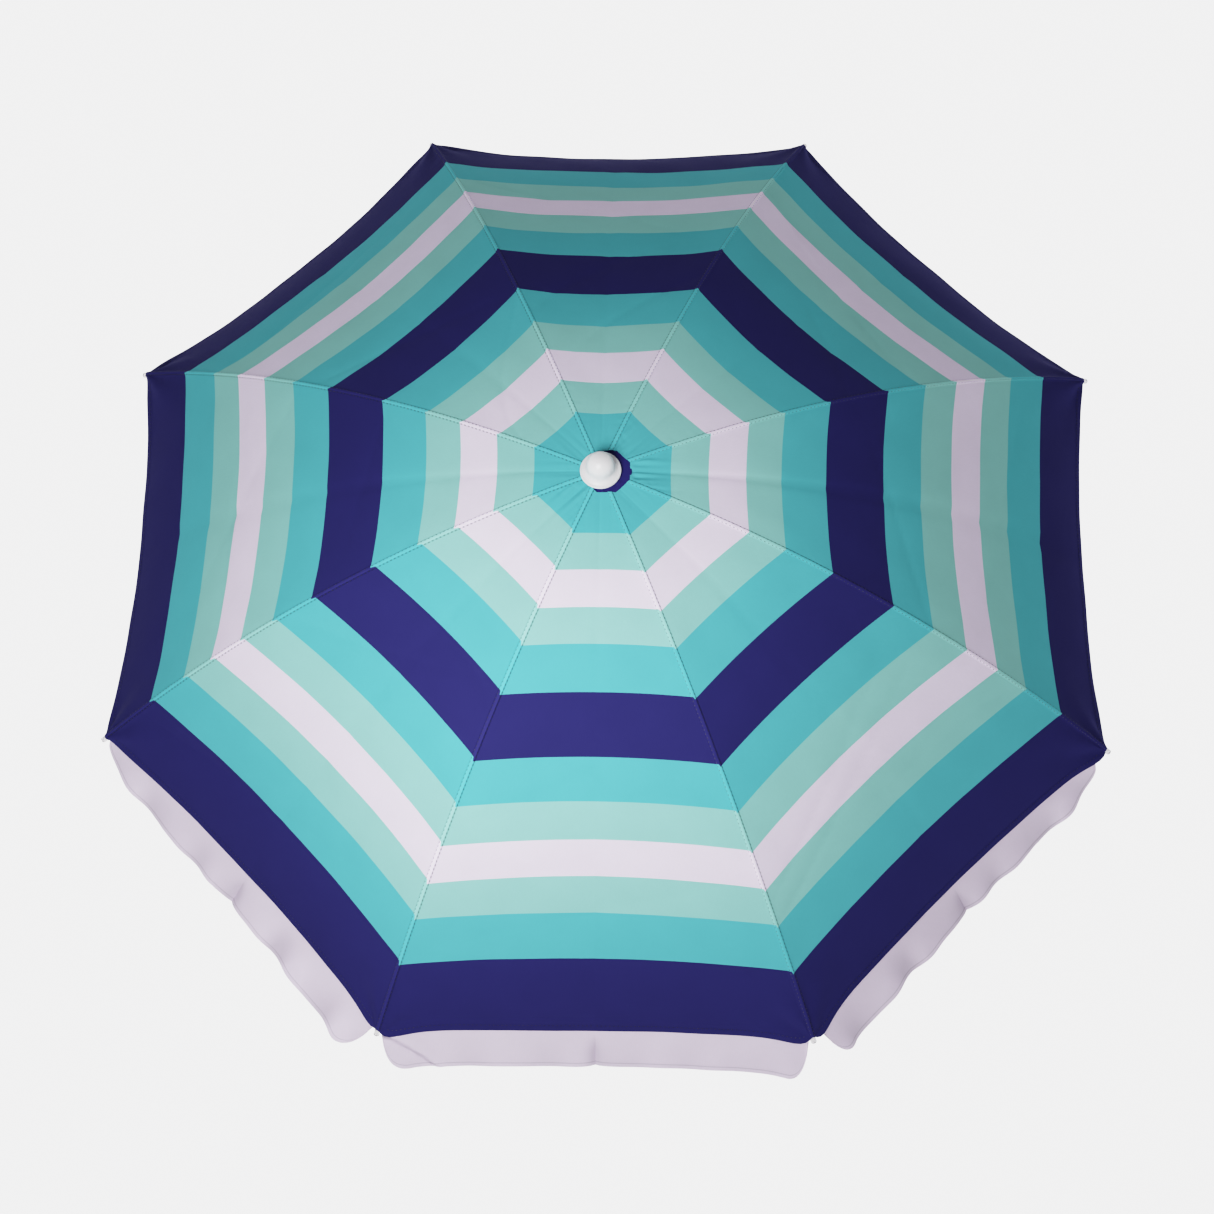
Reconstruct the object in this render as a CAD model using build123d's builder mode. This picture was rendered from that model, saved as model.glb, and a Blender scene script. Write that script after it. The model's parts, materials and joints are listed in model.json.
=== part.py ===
from build123d import *
import math
import os

# Beach umbrella with eight ribs, a height clamp and a tilt joint, open and upright.
# Millimetres. The origin is on the pole's axis at the sand line, +Z points up, and -Y is the front.

# ---- driving dimensions ----
RIB_COUNT = 8
PANEL_ANGLE = 360 / RIB_COUNT
FIRST_RIB_ANGLE = PANEL_ANGLE / 2  # rib 1 stands half a panel round from +X

TIP_R = 830.0  # pole axis to a corner of the canopy
RIM_Z = 1400.0  # height of the canopy's corners
CANOPY_RISE = 0.355 * TIP_R
CURVE_POWER = 2.25  # the canopy falls as (radius / TIP_R) to this power
FABRIC = 1.0
PANEL_GAP = 0.4  # half of the gap between two panels over a rib
HOLE_R = 37.0  # corner radius of the eight-sided hole at the canopy's centre
HOLE_SHIFT = 9.0  # the hole sits this far towards +X from the pole's axis

RIB_WIDTH = 3.6
RIB_TOP = 3.0  # depth of the rib's back below the outside of the fabric
RIB_BOTTOM = 6.5
GROOVE_WIDTH = 2.0  # the ribs are open channels
GROOVE_TOP = 4.4
EYE_R = 3.2
WIRE_R = 0.9
EYE_HOLE_R = WIRE_R + 0.15

HINGE_R = 22.0  # radius of both wire rings
CROWN_Z = RIM_Z + CANOPY_RISE - 6.2  # height of the ribs' hinge ring
PIVOT_STATION = TIP_R / 2  # where the stretcher's bracket sits along the rib
PIVOT_DEPTH = 12.0

UPPER_POLE_R = 11.0
UPPER_POLE_WALL = 1.0
MIDDLE_POLE_R = 12.5
MIDDLE_POLE_WALL = 1.2
LOWER_POLE_R = 14.0
SLIDE_GAP = 0.05
LOWER_POLE_Z = (-300.0, 610.0)
MIDDLE_POLE_Z = (330.0, 706.0)
SCREW_Z = 590.0  # height of the clamp's thumb screw
DEPTH_GROOVE_Z = 150.0
TILT_Z = 760.0
UPPER_POLE_Z = (800.0, CROWN_Z + 1.5)

SCREW_R = 3.0
RIVET_R = 1.5
VALANCE_DROP = 50.0
LIFTED_FLAPS = (5, 6, 7)  # the three front flaps stand out from the rim
LIFTED_ANGLE = 52.0
HANGING_ANGLE = 6.0

os.makedirs("parts", exist_ok=True)


def save(shape, name):
    shape.label = name
    export_step(shape, f"parts/{name}.step")


# ---- the canopy's shape ----
def fabric_z(radius):
    """Height of the canopy's outside over a rib."""
    return RIM_Z + CANOPY_RISE * (1 - (radius / TIP_R) ** CURVE_POWER)


def fabric_fall(radius):
    """How steeply the canopy falls along a rib, as rise over run."""
    return CANOPY_RISE * CURVE_POWER / TIP_R * (radius / TIP_R) ** (CURVE_POWER - 1)


def under_fabric(radius, depth):
    """A point at this depth below the canopy, square to it, in a rib's upright plane."""
    slope = math.atan(fabric_fall(radius))
    return (radius - depth * math.sin(slope), fabric_z(radius) - depth * math.cos(slope))


def panel_sag(radius):
    """How far the middle of a panel hangs inside the straight line between its ribs."""
    share = radius / TIP_R
    return TIP_R * (0.016 * share + 0.015 * share**16)


pivot_r, pivot_z = under_fabric(PIVOT_STATION, PIVOT_DEPTH)
RUNNER_Z = 2 * pivot_z - CROWN_Z  # equal arms put the runner's ring this far down
arm = math.hypot(pivot_r - HINGE_R, CROWN_Z - pivot_z)
print("linkage: arm", round(arm, 3), "pivot", round(pivot_r, 3), round(pivot_z, 3))
print("crown ring", round(CROWN_Z, 3), "runner ring", round(RUNNER_Z, 3))

# ---- rib: channel, bracket and rivet, made over +X ----
RIB_STATIONS = [22, 120, 220, 320, 420, 520, 620, 720, TIP_R]
GROOVE_STATIONS = [60, 160, 260, 340, 470, 570, 670, 740, 805]


def band(stations, top_depth, bottom_depth):
    """The outline between two depths under the canopy, in a rib's upright plane."""
    with BuildLine() as outline:
        top = Spline(*[under_fabric(r, top_depth) for r in stations])
        bottom = Spline(*[under_fabric(r, bottom_depth) for r in stations])
        Line(top @ 0, bottom @ 0)
        Line(top @ 1, bottom @ 1)
    return outline.edges()


with BuildPart() as rib_channel:
    with BuildSketch(Plane.XZ):
        make_face(band(RIB_STATIONS, RIB_TOP, RIB_BOTTOM))
        with Locations((HINGE_R, CROWN_Z)):
            Circle(EYE_R)
    extrude(amount=RIB_WIDTH / 2, both=True)
    with BuildSketch(Plane.XZ):
        make_face(band(GROOVE_STATIONS, GROOVE_TOP, RIB_BOTTOM + 1))
    extrude(amount=GROOVE_WIDTH / 2, both=True, mode=Mode.SUBTRACT)
    with BuildSketch(Plane.XZ):
        with Locations((HINGE_R, CROWN_Z)):
            Circle(EYE_HOLE_R)
    extrude(amount=RIB_WIDTH, both=True, mode=Mode.SUBTRACT)

BRACKET_SIDE = 1.2
BRACKET_HALF = RIB_WIDTH / 2 + BRACKET_SIDE
BRACKET_LENGTH = 12.0
BRACKET_R = 4.5
bracket_slope = math.degrees(math.atan(fabric_fall(PIVOT_STATION)))
bracket_plane = Plane(
    origin=(pivot_r, 0, pivot_z), x_dir=Vector(1, 0, 0).rotate(Axis.Y, bracket_slope), z_dir=(0, -1, 0)
)
saddle_top = PIVOT_DEPTH - RIB_TOP + 1.0

with BuildPart() as bracket:
    with BuildSketch(bracket_plane):
        with BuildLine():
            Polyline(
                (-BRACKET_LENGTH / 2, saddle_top),
                (BRACKET_LENGTH / 2, saddle_top),
                (BRACKET_R, 0),
                (-BRACKET_R, 0),
                close=True,
            )
        make_face()
        Circle(BRACKET_R)
    extrude(amount=BRACKET_HALF, both=True)
    with BuildSketch(Plane.XZ):
        make_face(band([390, 400, 410, 420, 430, 440], RIB_TOP, PIVOT_DEPTH + 2 * BRACKET_R))
    extrude(amount=RIB_WIDTH / 2, both=True, mode=Mode.SUBTRACT)
    with BuildSketch(bracket_plane):
        Circle(RIVET_R)
    extrude(amount=BRACKET_HALF, both=True, mode=Mode.SUBTRACT)

RIVET_HEAD = 1.0
with BuildPart() as bracket_rivet:
    with BuildSketch(bracket_plane):
        Circle(RIVET_R)
    extrude(amount=BRACKET_HALF + RIVET_HEAD, both=True)
    for side in (-1, 1):
        with BuildSketch(bracket_plane.offset(side * BRACKET_HALF)):
            Circle(2 * RIVET_R)
        extrude(amount=side * RIVET_HEAD)

# ---- rib tip: a clear plug over the rib's end ----
TIP_PLUG_R = 4.2
TIP_COVER = 10.0  # length over the rib
TIP_BEYOND = 12.0  # length past the rib's end
tip_depth = (RIB_TOP + RIB_BOTTOM) / 2
tip_x, tip_z = under_fabric(TIP_R, tip_depth)
tip_slope = math.atan(fabric_fall(TIP_R))
tip_along = Vector(math.cos(tip_slope), 0, -math.sin(tip_slope))
tip_plane = Plane(origin=Vector(tip_x, 0, tip_z) - tip_along * TIP_COVER, x_dir=(0, 1, 0), z_dir=tip_along)

with BuildPart() as tip_plug:
    with BuildSketch(tip_plane):
        Circle(TIP_PLUG_R)
    extrude(amount=TIP_COVER + TIP_BEYOND)
    fillet(tip_plug.edges().sort_by(Axis(tip_plane.origin, tip_along))[-1], 2.6)
    with BuildSketch(tip_plane):
        Rectangle(RIB_WIDTH + 0.3, RIB_BOTTOM - RIB_TOP + 0.5)
    extrude(amount=TIP_COVER + 0.2, mode=Mode.SUBTRACT)

# ---- stretcher: from the bracket to the runner ----
STRETCHER_WIDTH = 3.0
STRETCHER_HEIGHT = 4.2
stretcher_angle = math.degrees(math.atan2(pivot_z - RUNNER_Z, pivot_r - HINGE_R))

with BuildPart() as stretcher:
    with BuildSketch(Plane.XZ):
        with Locations(Location(((pivot_r + HINGE_R) / 2, (pivot_z + RUNNER_Z) / 2), stretcher_angle)):
            Rectangle(arm, STRETCHER_HEIGHT)
        with Locations((pivot_r, pivot_z), (HINGE_R, RUNNER_Z)):
            Circle(EYE_R)
    extrude(amount=STRETCHER_WIDTH / 2, both=True)
    with BuildSketch(Plane.XZ):
        with Locations((pivot_r, pivot_z)):
            Circle(RIVET_R + 0.05)
        with Locations((HINGE_R, RUNNER_Z)):
            Circle(EYE_HOLE_R)
    extrude(amount=STRETCHER_WIDTH, both=True, mode=Mode.SUBTRACT)

# ---- canopy panel: a thin curved sheet between two ribs, made over +X ----
PANEL_STATIONS = [20, 100, 200, 310, 420, 530, 630, 720, 790, TIP_R]
half_panel = math.radians(PANEL_ANGLE / 2)


def panel_plane(radius):
    """The plane square to a panel where its ribs are at this radius."""
    slope = math.atan(fabric_fall(radius) / math.cos(half_panel))
    return Plane(
        origin=(radius * math.cos(half_panel), 0, fabric_z(radius)),
        x_dir=(0, 1, 0),
        z_dir=(math.cos(slope), 0, -math.sin(slope)),
    )


with BuildPart() as panel_sheet:
    for station in PANEL_STATIONS:
        half_width = station * math.sin(half_panel) - PANEL_GAP
        sag = panel_sag(station)
        with BuildSketch(panel_plane(station)):
            with BuildLine():
                outside = ThreePointArc((-half_width, 0), (0, -sag), (half_width, 0))
                inside = ThreePointArc((-half_width, -FABRIC), (0, -sag - FABRIC), (half_width, -FABRIC))
                Line(outside @ 0, inside @ 0)
                Line(outside @ 1, inside @ 1)
            make_face()
    loft()
    # The corners stop short of the clear tips.
    with BuildSketch(Plane.XY.offset(RIM_Z - 100)):
        with PolarLocations(TIP_R, 2, -PANEL_ANGLE / 2, 2 * PANEL_ANGLE):
            Rectangle(26, 13)
    extrude(amount=200, mode=Mode.SUBTRACT)

FLAP_STATIONS = [-0.95, -0.9, -0.6, -0.3, 0, 0.3, 0.6, 0.9, 0.95]


def flap_drop(share):
    """The flap's height along the rim, with its lower corners rounded off."""
    return VALANCE_DROP * (0.62 if abs(share) > 0.92 else 1.0)


def valance_flap(lean):
    """One flap under a panel's rim, leaning out from upright by this angle."""
    rim = panel_plane(TIP_R)
    half_width = TIP_R * math.sin(half_panel)
    down = Vector(math.sin(math.radians(lean)), 0, -math.cos(math.radians(lean)))
    with BuildPart() as flap:
        for share in FLAP_STATIONS:
            inward = rim.y_dir * (-panel_sag(TIP_R) * (1 - share**2) - FABRIC / 2)
            start = rim.origin + rim.x_dir * (half_width * share) + inward + rim.z_dir * 0.8
            with BuildSketch(Plane(origin=start, x_dir=down, z_dir=(0, 1, 0))):
                Rectangle(flap_drop(share), FABRIC, align=(Align.MIN, Align.CENTER))
        loft()
    return flap.part


for number in range(1, RIB_COUNT + 1):
    rib_angle = FIRST_RIB_ANGLE + PANEL_ANGLE * (number - 1)
    panel_angle = PANEL_ANGLE * number
    pieces = [rib_channel.part, bracket.part, bracket_rivet.part]
    save(Compound(children=[piece.rotate(Axis.Z, rib_angle) for piece in pieces]), f"rib_{number}")
    save(tip_plug.part.rotate(Axis.Z, rib_angle), f"rib_tip_{number}")
    save(stretcher.part.rotate(Axis.Z, rib_angle), f"stretcher_{number}")

    with BuildPart() as canopy_panel:
        add(panel_sheet.part, rotation=(0, 0, panel_angle))
        with BuildSketch(Plane.XY.offset(CROWN_Z - 50)):
            with Locations((HOLE_SHIFT, 0)):
                RegularPolygon(HOLE_R, RIB_COUNT, rotation=PANEL_ANGLE / 2)
        extrude(amount=100, mode=Mode.SUBTRACT)
    save(canopy_panel.part, f"canopy_panel_{number}")

    lean = LIFTED_ANGLE if number in LIFTED_FLAPS else HANGING_ANGLE
    save(valance_flap(lean).rotate(Axis.Z, panel_angle), f"valance_{number}")


# ---- hubs: a slotted ring and its wire, at the crown and on the runner ----
def wire_ring(height, radius):
    """A ring of wire through the eyes."""
    with BuildPart() as ring:
        with BuildSketch(Plane.XZ):
            with Locations((HINGE_R, height)):
                Circle(radius)
        revolve(axis=Axis.Z)
    return ring.part


HUB_R = 28.0
SLOT_WIDTH = 4.4
SLOT_START = 17.5
NOTCH_Z = (CROWN_Z - 6.5, CROWN_Z + 3.3)

with BuildPart() as crown_notch:
    with BuildSketch(Plane.XY.offset(NOTCH_Z[0])):
        Circle(HUB_R)
        Circle(UPPER_POLE_R, mode=Mode.SUBTRACT)
        with PolarLocations(SLOT_START + HUB_R / 2, RIB_COUNT, FIRST_RIB_ANGLE):
            Rectangle(HUB_R, SLOT_WIDTH, mode=Mode.SUBTRACT)
    extrude(amount=NOTCH_Z[1] - NOTCH_Z[0])
    with BuildSketch(Plane.XY.offset(NOTCH_Z[0] - 14)):
        Circle(UPPER_POLE_R + 3)
        Circle(UPPER_POLE_R, mode=Mode.SUBTRACT)
    extrude(amount=14)
    add(wire_ring(CROWN_Z, WIRE_R + SLIDE_GAP), mode=Mode.SUBTRACT)
save(crown_notch.part, "crown_notch")
save(wire_ring(CROWN_Z, WIRE_R), "crown_wire")

RUNNER_SLEEVE = 45.0
RUNNER_BORE_R = UPPER_POLE_R + 0.3
with BuildPart() as runner:
    with BuildSketch(Plane.XY.offset(RUNNER_Z - 5)):
        Circle(HUB_R - 1)
    extrude(amount=10)
    with BuildSketch(Plane.XY.offset(RUNNER_Z - RUNNER_SLEEVE)):
        Circle(HUB_R / 2 + 2)
    extrude(amount=RUNNER_SLEEVE)
    with BuildSketch(Plane.XY.offset(RUNNER_Z - RUNNER_SLEEVE)):
        Circle(HUB_R / 2 + 6)
    extrude(amount=5)
    with BuildSketch(Plane.XY.offset(RUNNER_Z - 4)):
        with PolarLocations(SLOT_START + HUB_R / 2, RIB_COUNT, FIRST_RIB_ANGLE):
            Rectangle(HUB_R, SLOT_WIDTH)
    extrude(amount=20, mode=Mode.SUBTRACT)
    with BuildSketch(Plane.XY.offset(RUNNER_Z - 60)):
        Circle(RUNNER_BORE_R)
    extrude(amount=100, mode=Mode.SUBTRACT)
    add(wire_ring(RUNNER_Z, WIRE_R + SLIDE_GAP), mode=Mode.SUBTRACT)
save(runner.part, "runner")
save(wire_ring(RUNNER_Z, WIRE_R), "runner_wire")

# ---- finial cap: a domed knob on a wide flange, with a plug down into the pole ----
CAP_Z = fabric_z(0) + 0.5
FLANGE_R = 30.5
KNOB_R = 20.5
KNOB_Z = CAP_Z + 18.5
with BuildPart() as finial_cap:
    with BuildSketch(Plane.XZ):
        with BuildLine():
            Line((0, CAP_Z), (FLANGE_R - 1, CAP_Z))
            ThreePointArc((FLANGE_R - 1, CAP_Z), (FLANGE_R, CAP_Z + 1.6), (FLANGE_R - 2.5, CAP_Z + 3.6))
            ThreePointArc((FLANGE_R - 2.5, CAP_Z + 3.6), (KNOB_R + 2.2, CAP_Z + 6.6), (KNOB_R, KNOB_Z - 4))
            Line((KNOB_R, KNOB_Z - 4), (KNOB_R, KNOB_Z))
            CenterArc((0, KNOB_Z), KNOB_R, 0, 90)
            Line((0, KNOB_Z + KNOB_R), (0, CAP_Z))
        make_face()
    revolve(axis=Axis.Z)
    with BuildSketch(Plane.XY.offset(CAP_Z)):
        Circle(UPPER_POLE_R - UPPER_POLE_WALL)
    extrude(amount=-26)
save(finial_cap.part, "finial_cap")

PATCH_R = 42.0
PATCH_Z = CROWN_Z + 3.4
PATCH_FABRIC = 0.5
with BuildPart() as hub_patch:
    with BuildSketch(Plane.XY.offset(PATCH_Z)):
        Circle(PATCH_R)
        Circle(UPPER_POLE_R, mode=Mode.SUBTRACT)
    extrude(amount=PATCH_FABRIC)
save(hub_patch.part, "hub_patch")

# ---- poles ----
CATCH_TOP = RUNNER_Z - RUNNER_SLEEVE - 0.5
CATCH_LENGTH = 42.0
CATCH_WIDTH = 4.0
with BuildPart() as upper_pole:
    with BuildSketch(Plane.XY.offset(UPPER_POLE_Z[0])):
        Circle(UPPER_POLE_R)
        Circle(UPPER_POLE_R - UPPER_POLE_WALL, mode=Mode.SUBTRACT)
    extrude(amount=UPPER_POLE_Z[1] - UPPER_POLE_Z[0])
    with BuildSketch(Plane.XZ):
        with Locations((UPPER_POLE_R, CATCH_TOP - CATCH_LENGTH / 2)):
            Rectangle(8, CATCH_LENGTH + 4)
    extrude(amount=CATCH_WIDTH / 2 + 0.3, both=True, mode=Mode.SUBTRACT)
save(upper_pole.part, "upper_pole")

with BuildPart() as runner_catch:
    with BuildSketch(Plane.XZ):
        with BuildLine():
            Polyline(
                (UPPER_POLE_R + 3, CATCH_TOP),
                (UPPER_POLE_R - 3.4, CATCH_TOP),
                (UPPER_POLE_R - 3.4, CATCH_TOP - 1.2),
                (UPPER_POLE_R + 1.4, CATCH_TOP - 1.2),
                (UPPER_POLE_R - 2.2, CATCH_TOP - CATCH_LENGTH),
                (UPPER_POLE_R - 1, CATCH_TOP - CATCH_LENGTH),
                close=True,
            )
        make_face()
    extrude(amount=CATCH_WIDTH / 2, both=True)
save(runner_catch.part, "runner_catch")

with BuildPart() as middle_pole:
    with BuildSketch(Plane.XY.offset(MIDDLE_POLE_Z[0])):
        Circle(MIDDLE_POLE_R)
        Circle(MIDDLE_POLE_R - MIDDLE_POLE_WALL, mode=Mode.SUBTRACT)
    extrude(amount=MIDDLE_POLE_Z[1] - MIDDLE_POLE_Z[0])
save(middle_pole.part, "middle_pole")

with BuildPart() as lower_pole:
    with BuildSketch(Plane.XY.offset(LOWER_POLE_Z[0])):
        Circle(LOWER_POLE_R)
        Circle(MIDDLE_POLE_R + SLIDE_GAP, mode=Mode.SUBTRACT)
    extrude(amount=LOWER_POLE_Z[1] - LOWER_POLE_Z[0])
    with BuildSketch(Plane.YZ):
        with Locations((0, SCREW_Z)):
            Circle(SCREW_R + 0.2)
    extrude(amount=LOWER_POLE_R + 5, mode=Mode.SUBTRACT)
    # A rolled groove marks how deep the shaft goes in.
    with BuildSketch(Plane.XY.offset(DEPTH_GROOVE_Z)):
        Circle(LOWER_POLE_R + 1)
        Circle(LOWER_POLE_R - 0.5, mode=Mode.SUBTRACT)
    extrude(amount=2, mode=Mode.SUBTRACT)
save(lower_pole.part, "lower_pole")

SPIKE_LENGTH = 70.0
with BuildPart() as sand_spike:
    with BuildSketch(Plane.XZ):
        with BuildLine():
            Polyline(
                (0, LOWER_POLE_Z[0] + 35),
                (MIDDLE_POLE_R + SLIDE_GAP, LOWER_POLE_Z[0] + 35),
                (MIDDLE_POLE_R + SLIDE_GAP, LOWER_POLE_Z[0]),
                (LOWER_POLE_R, LOWER_POLE_Z[0]),
                (LOWER_POLE_R, LOWER_POLE_Z[0] - 8),
                (2, LOWER_POLE_Z[0] - SPIKE_LENGTH),
                (0, LOWER_POLE_Z[0] - SPIKE_LENGTH),
                close=True,
            )
        make_face()
    revolve(axis=Axis.Z)
save(sand_spike.part, "sand_spike")

# ---- height clamp: a collar on the lower pole and a thumb screw ----
COLLAR_R = 20.0
BOSS_END = 31.0
with BuildPart() as clamp_collar:
    with BuildSketch(Plane.XY.offset(SCREW_Z - 20)):
        Circle(COLLAR_R)
    extrude(amount=40)
    with BuildSketch(Plane.YZ):
        with Locations((0, SCREW_Z)):
            Circle(9)
    extrude(amount=BOSS_END)
    with BuildSketch(Plane.XY.offset(SCREW_Z - 20)):
        Circle(LOWER_POLE_R)
    extrude(amount=40, mode=Mode.SUBTRACT)
    with BuildSketch(Plane.YZ):
        with Locations((0, SCREW_Z)):
            Circle(SCREW_R + SLIDE_GAP)
    extrude(amount=BOSS_END, mode=Mode.SUBTRACT)
    chamfer(clamp_collar.faces().sort_by(Axis.Z)[-1].outer_wire().edges(), 1.5)
save(clamp_collar.part, "clamp_collar")

KNOB_LOBES = 5
with BuildPart() as clamp_knob:
    with BuildSketch(Plane.YZ.offset(MIDDLE_POLE_R + 0.3)):
        with Locations((0, SCREW_Z)):
            Circle(SCREW_R)
    extrude(amount=BOSS_END + 6 - MIDDLE_POLE_R)
    with BuildSketch(Plane.YZ.offset(BOSS_END + 1)):
        with Locations((0, SCREW_Z)):
            Circle(15)
            with PolarLocations(18, KNOB_LOBES):
                Circle(6, mode=Mode.SUBTRACT)
    extrude(amount=13)
    fillet(clamp_knob.faces().sort_by(Axis.X)[-1].outer_wire().edges(), 1.5)
save(clamp_knob.part, "clamp_knob")

# ---- tilt joint: a socket on the middle pole, a rivet, a toothed tongue and a push button ----
SOCKET_R = 17.0
SOCKET_Z = 690.0
EAR_R = 14.0
EAR_FLAT = 15.5
TONGUE_HALF = 4.9
TONGUE_SLOT = 5.1
SECTOR_R = 10.6
BUTTON_R = 4.0
BUTTON_Z = TILT_Z - SECTOR_R - BUTTON_R - 0.4
SPRING_END = -15.0
BUTTON_START = -6.0

with BuildPart() as tilt_socket:
    with BuildSketch(Plane.XY.offset(SOCKET_Z)):
        Circle(SOCKET_R)
    extrude(amount=TILT_Z - SOCKET_Z)
    with BuildSketch(Plane.YZ):
        with Locations((0, TILT_Z)):
            Circle(EAR_R)
    extrude(amount=EAR_FLAT, both=True)
    with BuildSketch(Plane.XY.offset(SOCKET_Z)):
        Circle(MIDDLE_POLE_R)
    extrude(amount=MIDDLE_POLE_Z[1] - SOCKET_Z, mode=Mode.SUBTRACT)
    with BuildSketch(Plane.XY.offset(TILT_Z - SECTOR_R - 1)):
        Rectangle(2 * TONGUE_SLOT, 3 * SOCKET_R)
    extrude(amount=60, mode=Mode.SUBTRACT)
    for side in (-1, 1):
        with BuildSketch(Plane.XY.offset(TILT_Z - EAR_R)):
            with Locations((side * (EAR_FLAT + 5), 0)):
                Rectangle(10, 3 * SOCKET_R)
        extrude(amount=60, mode=Mode.SUBTRACT)
    with BuildSketch(Plane.YZ):
        with Locations((0, TILT_Z)):
            Circle(SCREW_R)
    extrude(amount=SOCKET_R, both=True, mode=Mode.SUBTRACT)
    with BuildSketch(Plane.YZ.offset(SPRING_END)):
        with Locations((0, BUTTON_Z)):
            Circle(BUTTON_R + SLIDE_GAP)
    extrude(amount=SOCKET_R - SPRING_END, mode=Mode.SUBTRACT)
save(tilt_socket.part, "tilt_socket")

with BuildPart() as tilt_rivet:
    with BuildSketch(Plane.YZ):
        with Locations((0, TILT_Z)):
            Circle(SCREW_R)
    extrude(amount=EAR_FLAT + 2, both=True)
    for side in (-1, 1):
        with BuildSketch(Plane.YZ.offset(side * EAR_FLAT)):
            with Locations((0, TILT_Z)):
                Circle(2 * SCREW_R)
        extrude(amount=side * 2)
save(tilt_rivet.part, "tilt_rivet")

with BuildPart() as tilt_button:
    with BuildSketch(Plane.YZ.offset(BUTTON_START)):
        with Locations((0, BUTTON_Z)):
            Circle(BUTTON_R)
    extrude(amount=SOCKET_R + 6 - BUTTON_START)
    fillet(tilt_button.edges().sort_by(Axis.X)[-1], 1.2)
save(tilt_button.part, "tilt_button")

SPRING_COIL_R = 3.0
SPRING_WIRE_R = 0.4
SPRING_PLANE = Plane(
    origin=(SPRING_END + SPRING_WIRE_R + 0.1, 0, BUTTON_Z), x_dir=(0, 1, 0), z_dir=(1, 0, 0)
)
with BuildPart() as button_spring:
    with BuildLine():
        coil = Helix(pitch=2.0, height=8.0, radius=SPRING_COIL_R)
    with BuildSketch(Plane(origin=coil @ 0, z_dir=coil % 0)):
        Circle(SPRING_WIRE_R)
    sweep(path=coil)
save(SPRING_PLANE * button_spring.part, "button_spring")

HEAD_R = 16.0
HEAD_Z = (782.0, 840.0)
TOOTH_STEP = 20.0
with BuildPart() as tilt_head:
    with BuildSketch(Plane.YZ):
        with Locations((0, TILT_Z)):
            Circle(SECTOR_R)
        with Locations((0, (TILT_Z + HEAD_Z[0]) / 2)):
            Rectangle(16, HEAD_Z[0] - TILT_Z)
        for step in range(-2, 3):
            angle = math.radians(step * TOOTH_STEP - 90)
            with Locations((SECTOR_R * math.cos(angle), TILT_Z + SECTOR_R * math.sin(angle))):
                Circle(0.8, mode=Mode.SUBTRACT)
        with Locations((0, TILT_Z)):
            Circle(SCREW_R + SLIDE_GAP, mode=Mode.SUBTRACT)
    extrude(amount=TONGUE_HALF, both=True)
    with BuildSketch(Plane.XY.offset(HEAD_Z[0])):
        Circle(HEAD_R)
    extrude(amount=HEAD_Z[1] - HEAD_Z[0])
    chamfer(tilt_head.faces().sort_by(Axis.Z)[-1].outer_wire().edges(), 2)
    with BuildSketch(Plane.XY.offset(UPPER_POLE_Z[0])):
        Circle(UPPER_POLE_R)
    extrude(amount=HEAD_Z[1] - UPPER_POLE_Z[0], mode=Mode.SUBTRACT)
save(tilt_head.part, "tilt_head")
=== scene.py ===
"""Beach umbrella: cloth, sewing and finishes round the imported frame. Metres, +Z up, -Y the front."""

import json
import math

import bpy
import numpy as np
from mathutils import Matrix, Vector


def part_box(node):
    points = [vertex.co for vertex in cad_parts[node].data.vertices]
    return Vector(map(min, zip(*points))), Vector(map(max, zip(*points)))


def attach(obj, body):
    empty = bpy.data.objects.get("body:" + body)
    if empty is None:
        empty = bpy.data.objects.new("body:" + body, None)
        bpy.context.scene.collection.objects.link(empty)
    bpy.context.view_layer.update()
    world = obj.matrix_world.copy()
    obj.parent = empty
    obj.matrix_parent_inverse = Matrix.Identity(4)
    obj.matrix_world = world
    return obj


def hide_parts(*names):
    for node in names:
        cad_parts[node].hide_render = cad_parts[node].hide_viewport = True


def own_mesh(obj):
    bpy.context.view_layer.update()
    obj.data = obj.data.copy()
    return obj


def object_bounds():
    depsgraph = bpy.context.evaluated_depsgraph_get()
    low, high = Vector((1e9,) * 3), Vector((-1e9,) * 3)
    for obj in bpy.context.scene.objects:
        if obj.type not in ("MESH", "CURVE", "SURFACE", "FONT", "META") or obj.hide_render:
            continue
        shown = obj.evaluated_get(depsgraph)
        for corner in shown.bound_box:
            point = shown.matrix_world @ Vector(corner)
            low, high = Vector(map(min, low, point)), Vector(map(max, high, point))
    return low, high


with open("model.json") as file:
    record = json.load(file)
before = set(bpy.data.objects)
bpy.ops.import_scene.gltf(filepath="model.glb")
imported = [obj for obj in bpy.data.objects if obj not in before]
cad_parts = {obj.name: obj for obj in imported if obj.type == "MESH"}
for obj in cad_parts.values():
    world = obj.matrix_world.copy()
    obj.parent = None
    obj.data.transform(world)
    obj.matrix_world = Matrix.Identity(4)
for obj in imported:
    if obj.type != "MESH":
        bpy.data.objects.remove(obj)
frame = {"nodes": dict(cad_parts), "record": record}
CAD_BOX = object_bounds()
UP = np.array([0.0, 0.0, 1.0])

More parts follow.
